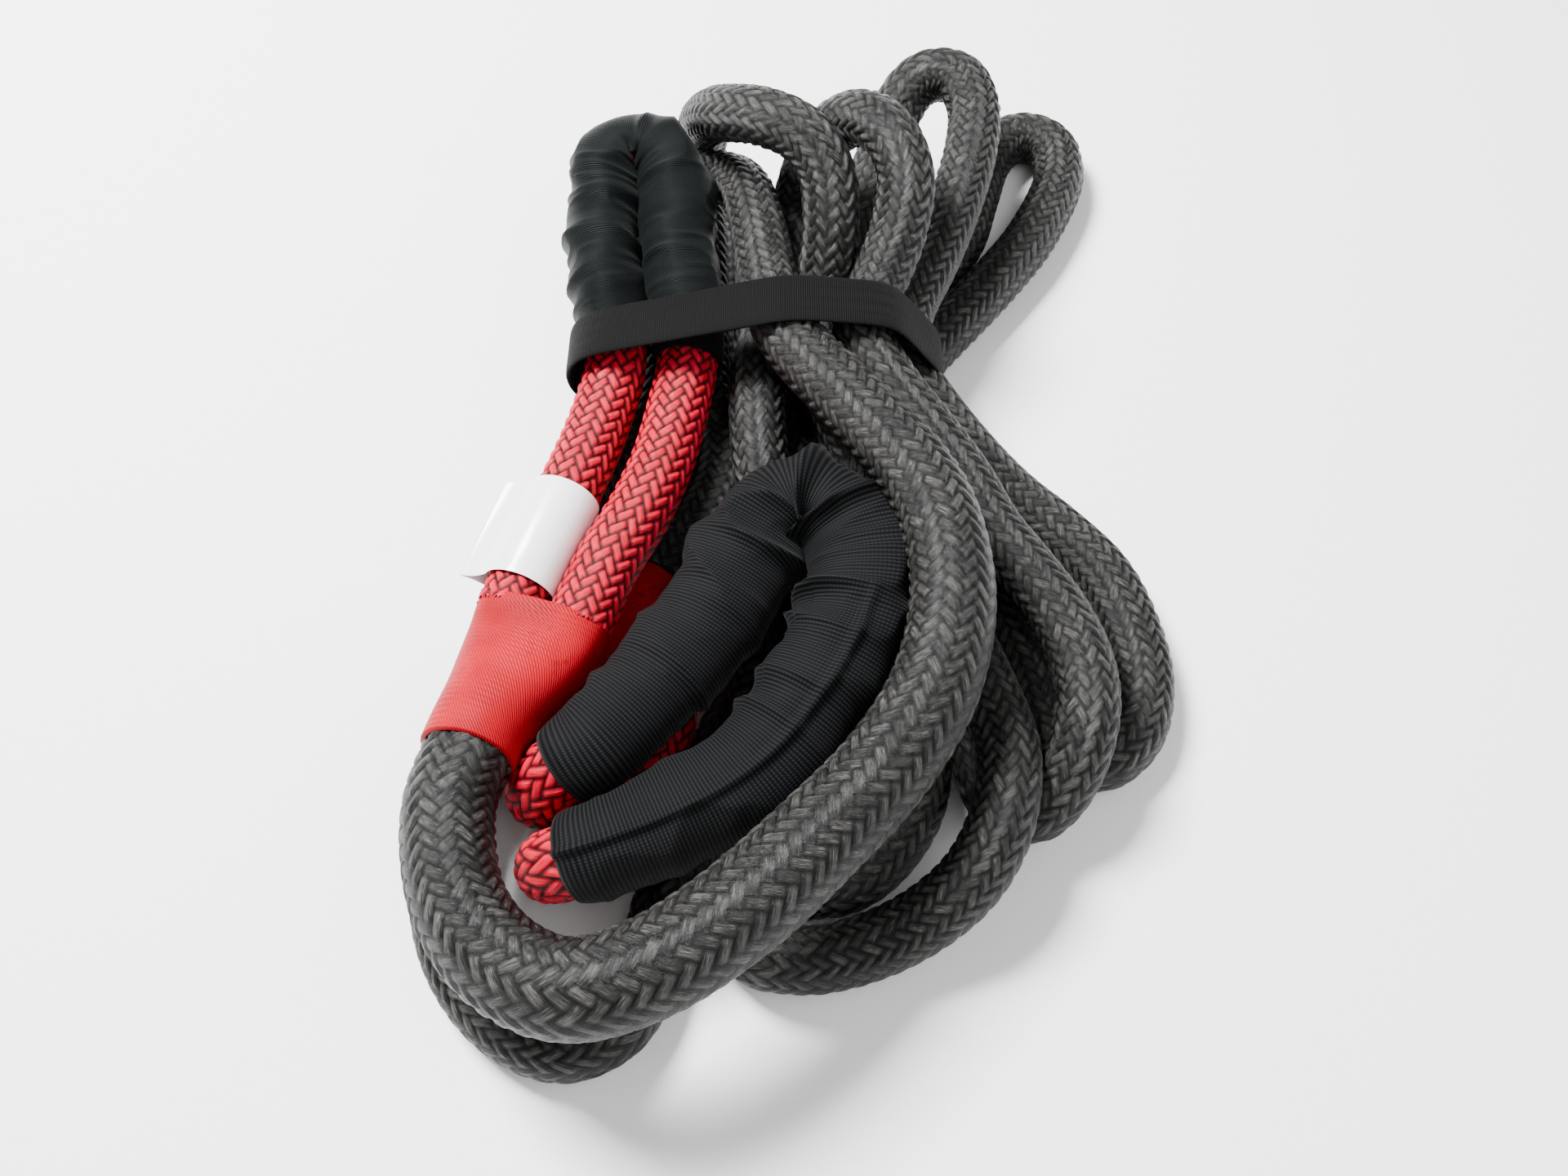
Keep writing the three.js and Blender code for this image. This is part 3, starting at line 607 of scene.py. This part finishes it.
def seam_relief(w, total, a, seam):
    """A sewn ridge with one edge of the cloth lapped over the other, on the seam's part of the length."""
    gap = np.mod(a - seam["angle"] - seam["drift"] * (w / total) + np.pi, 2 * np.pi) - np.pi
    shown = np.clip((w - seam["from"] * total) / SEAM_FADE, 0, 1)
    ridge = SEAM_RIDGE * np.exp(-((gap / SEAM_WIDTH) ** 2))
    lap = LAP_RISE / (1 + np.exp(-gap / LAP_SOFTNESS)) * (np.abs(gap) < LAP_REACH)
    return shown * (ridge + lap)


def sleeve_shell(name, line, span, width, height, folds, seam=None):
    """A slack fabric tube: wrinkled across, bunched on the inside of its bend, hemmed at its ends."""
    fine = smooth(line, SLEEVE_STEP)
    share = share_of(fine)
    kept = inside(share, span)
    fine, share = fine[kept], share[kept]
    along, up, left = level_frames(fine)
    bend = bend_side(along, left)
    s = arc(fine)
    total = s[-1]
    way, sunk = hem_rows(s)
    rows, known = way / SLEEVE_STEP, np.arange(len(s))
    centre = points_at(rows, known, fine)
    up, left = unit(points_at(rows, known, up)), unit(points_at(rows, known, left))
    a = np.linspace(0, 2 * np.pi, SLEEVE_SIDES, endpoint=False)[None, :]
    w = way[:, None]
    tight = np.interp(rows, known, bend)[:, None] * np.cos(a)
    reach = np.where(tight > 0, BEND_FILL / np.maximum(np.abs(tight), TINY), 1)
    side = np.minimum(width(np.interp(rows, known, share))[:, None], reach)
    ends = np.clip(np.minimum(w, total - w) / END_REACH, 0, 1)
    relief = fold_relief(w, total, a, ends, folds)
    if seam:
        relief = relief + seam_relief(w, total, a, seam)
    x = np.cos(a) * (side * (1 - END_PRESS * (1 - ends)) + relief - sunk[:, None])
    z = np.sin(a) * (height + relief - sunk[:, None])
    verts = placed(centre, x, left, z, up)
    verts[..., 2] = np.maximum(verts[..., 2], SLEEVE_FLOOR)
    return skin(name, verts, way, np.pi * (side.mean() + height))


# The whippings
def squared(wave, power):
    """A sine or cosine flattened towards a rounded square."""
    return np.sign(wave) * np.abs(wave) ** power


def winding_line(eye, rope_end, rope_way):
    """The centre line from inside an eye's two legs to just past the rope's end, and its way across."""
    top, on = (eye[0] + eye[-1]) / 2, unit(unit(eye[0] - eye[1]) + unit(eye[-1] - eye[-2]))
    points = np.array([
        top - on * WINDING_INSIDE,
        top + on * WINDING_LEAD,
        (top + on * WINDING_MEET + rope_end - rope_way * WINDING_MEET) / 2,
        rope_end - rope_way * WINDING_LEAD,
        rope_end + rope_way * WINDING_PAST,
    ])
    return smooth(points, WINDING_STEP), unit(eye[-1] - eye[0])


def whipping(name, eye, rope_end, rope_way, end_radius):
    """A close winding over the throat of a splice, from two legs side by side to one round rope."""
    fine, across = winding_line(eye, rope_end, rope_way)
    side, up = carried_frames(fine, across)
    way = arc(fine)
    s, total = way[:, None], way[-1]
    a = np.linspace(0, 2 * np.pi, WINDING_SIDES, endpoint=False)[None, :]
    blend = np.clip(s / total / WINDING_ROUND_AT, 0, 1)
    blend = blend * blend * (3 - 2 * blend)
    flat_x = (THROAT_HALF + WINDING_OVER_SIDES) * squared(np.cos(a), WINDING_SQUARE_X)
    flat_z = (COATED_RADIUS + WINDING_OVER_TOP) * squared(np.sin(a), WINDING_SQUARE_Z)
    x = flat_x * (1 - blend) + np.cos(a) * end_radius * blend
    z = flat_z * (1 - blend) + np.sin(a) * end_radius * blend
    turns = s / TWINE_PITCH + a / (2 * np.pi)
    twine = np.sqrt(np.clip(1 - (2 * (turns - np.floor(turns)) - 1) ** 2, 0, 1))
    dipped = DIP_LEAST + (1 - DIP_LEAST) * noise_round(s / DIP_CELL, a, DIP_SEED, DIP_CELLS_ROUND)
    lip = np.clip(np.minimum(s, total - s) / LIP_REACH, 0, 1)
    lift = TWINE_RISE * twine * dipped - LIP_DROP * (1 - np.sqrt(1 - (1 - lip) ** 2))
    grow = 1 + lift / np.hypot(x, z)
    return skin(name, placed(fine, x * grow, side, z * grow, up), way, 2 * np.pi * end_radius)


# The strap
def convex(points):
    """Convex outline of points [x, z], counter-clockwise."""
    pts = sorted(map(tuple, points))

    def half(rows):
        out = []
        for p in rows:
            while len(out) > 1:
                o, a = out[-2], out[-1]
                if (a[0] - o[0]) * (p[1] - o[1]) - (a[1] - o[1]) * (p[0] - o[0]) > TINY:
                    break
                out.pop()
            out.append(p)
        return out[:-1]

    return np.array(half(pts) + half(pts[::-1]))


def strap_loop(strands, at_y):
    """The strap's middle line drawn tight round every strand, and each point's way along it."""
    a = np.linspace(0, 2 * np.pi, STRAND_POINTS, endpoint=False)
    off = STRAP_EASE + STRAP_THICK / 2 + STRAP_OFF
    spots = []
    for line, sizes in strands:
        close = np.abs(line[:, 1] - at_y) < STRAP_WIDTH / 2 + STRAP_NEAR
        for (x, _, z), r in zip(line[close], sizes[close]):
            spots.append(np.stack([x + np.cos(a) * (r + off), z + np.sin(a) * (r + off)], axis=1))
    outline = convex(np.concatenate(spots))
    closed = np.vstack([outline, outline[:1]])
    s = arc(closed)
    way = np.linspace(0, s[-1], int(s[-1] / STRAP_STEP), endpoint=False)
    loop = points_at(way, s, closed)
    for _ in range(STRAP_SOFTENING):
        loop = 0.5 * loop + 0.25 * (np.roll(loop, 1, axis=0) + np.roll(loop, -1, axis=0))
    return loop, way, s[-1]


def strap_mesh(name, strands):
    """A webbing band round the hank, with rounded selvedges."""
    at_y = STRAP_Y + CENTRE[1]
    loop, way, total = strap_loop(strands, at_y)
    tangent = unit(np.roll(loop, -1, axis=0) - np.roll(loop, 1, axis=0))
    out = np.stack([tangent[:, 1], -tangent[:, 0]], axis=1)
    t = 2 * np.pi * np.arange(STRAP_PROFILE_POINTS) / STRAP_PROFILE_POINTS
    y = STRAP_WIDTH / 2 * squared(np.cos(t), STRAP_SQUARE_Y)
    thick = STRAP_THICK / 2 * squared(np.sin(t), STRAP_SQUARE_Z)
    sway = SWAY * (smooth_noise(way[:, None] / SWAY_CELL, y[None, :] / SWAY_CELL_ACROSS, SWAY_SEED) - 0.5)
    place = loop[:, None, :] + out[:, None, :] * (thick[None, :, None] + sway[..., None])
    verts = np.stack([place[..., 0], np.broadcast_to(at_y + y, place.shape[:2]), place[..., 1]], axis=-1)
    verts[..., 2] = np.maximum(verts[..., 2], STRAP_FLOOR)
    return skin(name, np.vstack([verts, verts[:1]]), np.append(way, total), 2 * STRAP_WIDTH)


# The tag
def tag_profile():
    """The tape's outline across the leg: round it, and out to the flap where its two ends meet."""
    r = COATED_RADIUS + TAG_OVER
    turn = np.linspace(TAG_OPEN, 2 * np.pi - TAG_OPEN, TAG_ROUND_POINTS)
    loop = np.stack([np.cos(turn) * r, np.sin(turn) * r], axis=1)
    flap = np.linspace(TAG_FLAP, TAG_FLAP_START, TAG_FLAP_POINTS)
    rise = TAG_FLAP_GAP + (np.sin(TAG_OPEN) * r - TAG_FLAP_GAP) * (1 - flap / TAG_FLAP) ** 2
    base = np.cos(TAG_OPEN) * r
    upper = np.stack([base + flap, rise], axis=1)
    return np.vstack([upper, loop, upper[::-1] * (1, -1)]), base


def tag_mesh(name, line):
    """Blank glossy tape wrapped round the leg, its two ends laid together in a flap."""
    fine = smooth(line, TAG_STEP)
    s = arc(fine)
    close = np.abs(s - TAG_AT * (len(line) - 1) * NODE_STEP) < TAG_LENGTH / 2
    fine, s = fine[close], s[close]
    _, up, left = level_frames(fine)
    path, base = tag_profile()
    tangent = unit(np.gradient(path, axis=0))
    normal = np.stack([tangent[:, 1], -tangent[:, 0]], axis=1)
    ring = np.vstack([path + normal * TAG_HALF_THICK, (path - normal * TAG_HALF_THICK)[::-1]])
    middle = np.vstack([path, path[::-1]])
    edge = np.clip(np.minimum(s - s[0], s[-1] - s) / TAG_EDGE, 0, 1)[:, None, None]
    shape = middle + (ring - middle) * edge
    out = np.clip((shape[..., 0] - base) / TAG_FLAP, 0, 1)
    bow = TAG_BOW * ((s - s.mean()) / TAG_LENGTH)[:, None] * out
    return skin(name, placed(fine, shape[..., 0], left, shape[..., 1] + bow, up), s - s[0], TAG_UV_ROUND)


# Materials
class Look:
    """One material and short calls for the nodes that make it."""

    def __init__(self, name, rough):
        self.material = bpy.data.materials.new(name)
        self.material.use_nodes = True
        self.nodes, self.links = self.material.node_tree.nodes, self.material.node_tree.links
        self.shader = next(n for n in self.nodes if n.type == "BSDF_PRINCIPLED")
        self.value("Roughness", rough)

    def value(self, key, amount):
        self.shader.inputs[key].default_value = amount

    def node(self, kind, inputs=(), **settings):
        n = self.nodes.new(kind)
        for key, value in settings.items():
            setattr(n, key, value)
        for key, value in inputs:
            if hasattr(value, "is_output"):
                self.links.new(value, n.inputs[key])
            else:
                n.inputs[key].default_value = value
        return n

    def math(self, operation, *values):
        return self.node("ShaderNodeMath", list(enumerate(values)), operation=operation).outputs[0]

    def times(self, a, b):
        return self.math("MULTIPLY", a, b)

    def plus(self, a, b):
        return self.math("ADD", a, b)

    def blend(self, a, b, share_a):
        """The first value by its share, and the second by the rest."""
        return self.plus(self.times(a, share_a), self.times(b, 1 - share_a))

    def vector(self, x, y=0.0):
        return self.node("ShaderNodeCombineXYZ", [(0, x), (1, y)]).outputs[0]

    def uv(self):
        """The two values of the UV map: round and along, or across and run on a braid."""
        both = self.node("ShaderNodeUVMap", uv_map="strand").outputs[0]
        split = self.node("ShaderNodeSeparateXYZ", [(0, both)])
        return split.outputs[0], split.outputs[1]

    def place(self):
        return self.node("ShaderNodeTexCoord").outputs["Object"]

    def noise(self, where, scale, detail, roughness=0.5):
        return self.node("ShaderNodeTexNoise", [
            ("Vector", where), ("Scale", scale), ("Detail", detail), ("Roughness", roughness)]).outputs[0]

    def wave(self, where, scale, distortion=0.0, detail=2.0):
        return self.node("ShaderNodeTexWave", [
            ("Vector", where), ("Scale", scale), ("Distortion", distortion), ("Detail", detail),
        ], wave_type="BANDS", bands_direction="X").outputs["Fac"]

    def ramp(self, factor, *stops):
        n = self.node("ShaderNodeValToRGB", [(0, factor)])
        while len(n.color_ramp.elements) < len(stops):
            n.color_ramp.elements.new(0.5)
        for element, (position, colour) in zip(n.color_ramp.elements, stops):
            element.position = position
            element.color = (*colour, 1)
        return n.outputs[0]

    def fade(self, value, start, end, low):
        """1 up to start, then falling smoothly to low at end."""
        return self.node("ShaderNodeMapRange", [
            ("Value", value), ("From Min", start), ("From Max", end), ("To Min", 1.0), ("To Max", low),
        ], interpolation_type="SMOOTHSTEP").outputs[0]

    def darken(self, colour, by):
        mix = self.node("ShaderNodeMix", [(6, colour), (7, by)], data_type="RGBA", blend_type="MULTIPLY")
        mix.inputs["Factor"].default_value = 1.0
        return mix.outputs[2]

    def colour(self, source):
        self.links.new(source, self.shader.inputs["Base Color"])

    def bump(self, height, distance, strength):
        n = self.node("ShaderNodeBump", [("Height", height), ("Distance", distance), ("Strength", strength)])
        self.links.new(n.outputs[0], self.shader.inputs["Normal"])


# Strand texture: filaments across and along a float, the light ones partly a painted highlight, and where
# its edges and ends fall into painted shade
HAIRS_ACROSS = 26.0
HAIRS_ALONG = 0.9
HAIRS_SHIFT = 3.0
HAIRS_SHARE = 0.90
HAIRS_STOPS = (0.33, 0.52, 0.72)
HAIRS_DEPTH = 0.0005
EDGE_SHADE = (0.20, 0.48)
END_SHADE = (0.55, 1.0)
FLOAT_CYCLE = 4.0
RUN_OFFSET = 1000 * FLOAT_CYCLE

# Dipped twine: its lay, cloudy tone and stains
LAY_SLANT = 0.8
LAY_SCALE = 260.0
LAY_DISTORTION = 1.5
LAY_SHARE = 0.35
LAY_DEPTH = 0.00018
CLOUD_SCALE = 45.0
STAIN_SCALE = 130.0
DIP_STOPS = (0.2, 0.5, 0.8)
STAIN_STOPS = (0.36, 0.46)

# Cloth: ribs over yarns, and a slight cloud
YARN_SHARE = 0.45
WEAVE_SHARE = 0.85
WEAVE_DEPTH = 0.0003
WEAVE_STOPS = (0.2, 0.85)
CLOTH_CLOUD_SCALE = 60.0
CLOTH_SHINE = 0.07
CLOTH_SHEEN = 0.02
CLOTH_SHEEN_ROUGHNESS = 0.5
BUMP_STRENGTH = 0.9
LAY_BUMP_STRENGTH = 0.7

# Plain surfaces: a faint mottle
MOTTLE_SCALE = 200.0
MOTTLE_STOPS = (0.35, 0.65)
COAT_ROUGHNESS = 0.12


def braid_material(name, look):
    """Filaments along each strand, their light end partly a painted highlight, a tone for each float, and
    painted shade at the floats' edges and ends.
    """
    m = Look(name, look["rough"])
    across, run = m.uv()
    phase = m.math("MODULO", m.plus(run, RUN_OFFSET), FLOAT_CYCLE)
    end = m.math("ABSOLUTE", m.math("SUBTRACT", phase, 1.0))
    edge = m.math("ABSOLUTE", m.math("SUBTRACT", m.math("FRACT", across), 0.5))
    float_seed = m.vector(m.math("FLOOR", across), m.math("FLOOR", m.times(run, 1 / FLOAT_CYCLE)))
    tone = m.node("ShaderNodeTexWhiteNoise", [(0, float_seed)], noise_dimensions="2D").outputs[0]
    shifted = m.plus(m.times(run, HAIRS_ALONG), m.times(tone, HAIRS_SHIFT))
    hairs = m.noise(m.vector(m.times(across, HAIRS_ACROSS), shifted), 1.0, 3.0, 0.65)
    stops = zip(HAIRS_STOPS, (look["dark"], look["mid"], look["light"]))
    # The ramp's light stop paints a highlight on the filaments, on top of their own paler tone
    colour = m.ramp(m.blend(hairs, tone, HAIRS_SHARE), *stops)
    # Painted shade where the floats' edges and ends dive under the crossing strands
    shade = m.times(m.fade(edge, *EDGE_SHADE, look["painted_shade_low"]), m.fade(end, *END_SHADE, look["painted_shade_low"]))
    m.colour(m.darken(colour, shade))
    m.value("Specular IOR Level", look["shine"])
    m.bump(hairs, HAIRS_DEPTH * look["fibre"], BUMP_STRENGTH)
    return m.material


def whipping_material(name, look):
    """Red twine under a dip: a fine lay across each turn, and a few grey smudges."""
    m = Look(name, look["rough"])
    round_way, along_way = m.uv()
    slant = m.plus(round_way, m.times(along_way, LAY_SLANT))
    lay = m.wave(m.vector(slant), LAY_SCALE, LAY_DISTORTION)
    place = m.place()
    cloud, stain = m.noise(place, CLOUD_SCALE, 4.0), m.noise(place, STAIN_SCALE, 5.0)
    stops = zip(DIP_STOPS, (look["deep"], look["mid"], look["pale"]))
    colour = m.ramp(m.blend(lay, cloud, LAY_SHARE), *stops)
    dirt = m.ramp(m.times(stain, cloud), *zip(STAIN_STOPS, ((1, 1, 1), look["stain"])))
    m.colour(m.darken(colour, dirt))
    m.value("Specular IOR Level", look["shine"])
    m.bump(lay, LAY_DEPTH, LAY_BUMP_STRENGTH)
    return m.material


def fabric_material(name, look):
    """A ribbed nylon cloth: fine crosswise ribs on a slack weave."""
    m = Look(name, look["rough"])
    round_way, along_way = m.uv()
    rib = m.wave(m.vector(along_way), look["ribs"])
    yarn = m.wave(m.vector(round_way), look["yarns"])
    weave = m.times(rib, m.plus(m.times(yarn, YARN_SHARE), 1 - YARN_SHARE))
    cloud = m.noise(m.place(), CLOTH_CLOUD_SCALE, 4.0)
    m.colour(m.ramp(m.blend(weave, cloud, WEAVE_SHARE), *zip(WEAVE_STOPS, (look["dark"], look["light"]))))
    m.value("Specular IOR Level", CLOTH_SHINE)
    m.value("Sheen Weight", CLOTH_SHEEN)
    m.value("Sheen Roughness", CLOTH_SHEEN_ROUGHNESS)
    m.bump(weave, WEAVE_DEPTH, BUMP_STRENGTH)
    return m.material


def plain_material(name, look):
    """One colour, faintly mottled, with a clear coat where the look has one."""
    m = Look(name, look["rough"])
    low = tuple(c * (1 - look["variation"]) for c in look["colour"])
    high = tuple(min(1, c * (1 + look["variation"])) for c in look["colour"])
    mottle = m.noise(m.place(), MOTTLE_SCALE, 5.0)
    m.colour(m.ramp(mottle, *zip(MOTTLE_STOPS, (low, high))))
    if look["coat"]:
        m.value("Coat Weight", look["coat"])
        m.value("Coat Roughness", COAT_ROUGHNESS)
    return m.material


GREY_ROPE = braid_material("grey_braid", GREY_BRAID_LOOK)
RED_ROPE = braid_material("red_braid", RED_BRAID_LOOK)
RED_DIP = whipping_material("red_dip", DIP_LOOK)
SLEEVE = fabric_material("sleeve_fabric", COVER_LOOK)
SLEEVE_SATIN = fabric_material("sleeve_satin", SATIN_LOOK)
WEBBING = fabric_material("webbing", WEBBING_LOOK)
TAG_WHITE = plain_material("tag_white", TAG_LOOK)


# The pieces: each takes a material and a slot, rides on the hank and replaces its node
def dress(obj, mat, replaced):
    obj.data.materials.append(mat)
    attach(obj, "root")
    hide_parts(replaced)


# The body of the rope, in four spans; the first is the spliced part
BODY_SPANS = ((0.0, 0.11), (0.11, 0.41), (0.41, 0.71), (0.71, 1.0))
for number, (obj, path) in enumerate(braid("rope_run", body, body_sizes, BODY_SPANS)):
    dress(obj, GREY_ROPE, "rope_body")

# The two eyes
for name, line in (("eye_1", eye_1), ("eye_2", eye_2)):
    obj, path = braid(f"{name}_braid", line, np.full(len(line), COATED_RADIUS))[0]
    dress(obj, RED_ROPE, f"{name}_rope")

# Sleeves
eye_1_cover = sleeve_shell("eye_1_cover", eye_1, EYE_1_SLEEVE_SPAN,
                           eye_1_width, EYE_1_SLEEVE_RADIUS, EYE_1_FOLDS)
dress(eye_1_cover, SLEEVE_SATIN, "eye_1_sleeve")
eye_2_cover = sleeve_shell("eye_2_cover", eye_2, EYE_2_SLEEVE_SPAN,
                           eye_2_width, EYE_2_SLEEVE_HEIGHT, EYE_2_FOLDS, EYE_2_SEAM)
dress(eye_2_cover, SLEEVE, "eye_2_sleeve")

# Whippings
eye_1_winding = whipping("eye_1_winding", eye_1, body[0], unit(body[1] - body[0]), WHIPPING_1_RADIUS)
dress(eye_1_winding, RED_DIP, "eye_1_whipping")
eye_2_winding = whipping("eye_2_winding", eye_2, body[-1], unit(body[-2] - body[-1]), WHIPPING_2_RADIUS)
dress(eye_2_winding, RED_DIP, "eye_2_whipping")

# Strap and tag
webbing_strap = strap_mesh("webbing_strap", [(body, body_sizes), (eye_1, eye_1_sizes), (eye_2, eye_2_sizes)])
dress(webbing_strap, WEBBING, "tie_strap")
dress(tag_mesh("blank_tag", eye_1), TAG_WHITE, "label_tag")


# Floor, light and camera
def floor():
    mesh = bpy.data.meshes.new("floor")
    half = FLOOR_HALF
    corners = [(-half, -half, 0), (half, -half, 0), (half, half, 0), (-half, half, 0)]
    mesh.from_pydata(corners, [], [(0, 1, 2, 3)])
    mesh.materials.append(plain_material("floor_white", FLOOR_LOOK))
    linked("floor", mesh)


def area_light(name, light):
    """A square light above, turned to the middle of the hank."""
    data = bpy.data.lights.new(name, "AREA")
    data.shape = "RECTANGLE"
    data.size = data.size_y = light["size"]
    data.energy = light["power"]
    obj = linked(name, data)
    obj.location = light["place"]
    obj.rotation_euler = (-Vector(light["place"])).to_track_quat("-Z", "Y").to_euler()


def sky():
    world = bpy.data.worlds.new("studio")
    world.use_nodes = True
    background = world.node_tree.nodes["Background"]
    background.inputs[0].default_value = (1, 1, 1, 1)
    background.inputs[1].default_value = SKY_STRENGTH
    bpy.context.scene.world = world


def camera():
    data = bpy.data.cameras.new("camera")
    data.sensor_fit = "HORIZONTAL"
    data.sensor_width = SENSOR_WIDTH
    data.lens = SENSOR_WIDTH * FOCAL_PIXELS / PHOTO_WIDTH
    data.clip_start = CAMERA_NEAR
    obj = linked("camera", data)
    obj.location = (CENTRE[0], CENTRE[1], CAMERA_HEIGHT)
    obj.rotation_euler = (math.pi / 2 - CAMERA_PITCH, 0, 0)
    bpy.context.scene.camera = obj


floor()
area_light("key", KEY_LIGHT)
area_light("fill", FILL_LIGHT)
sky()
camera()
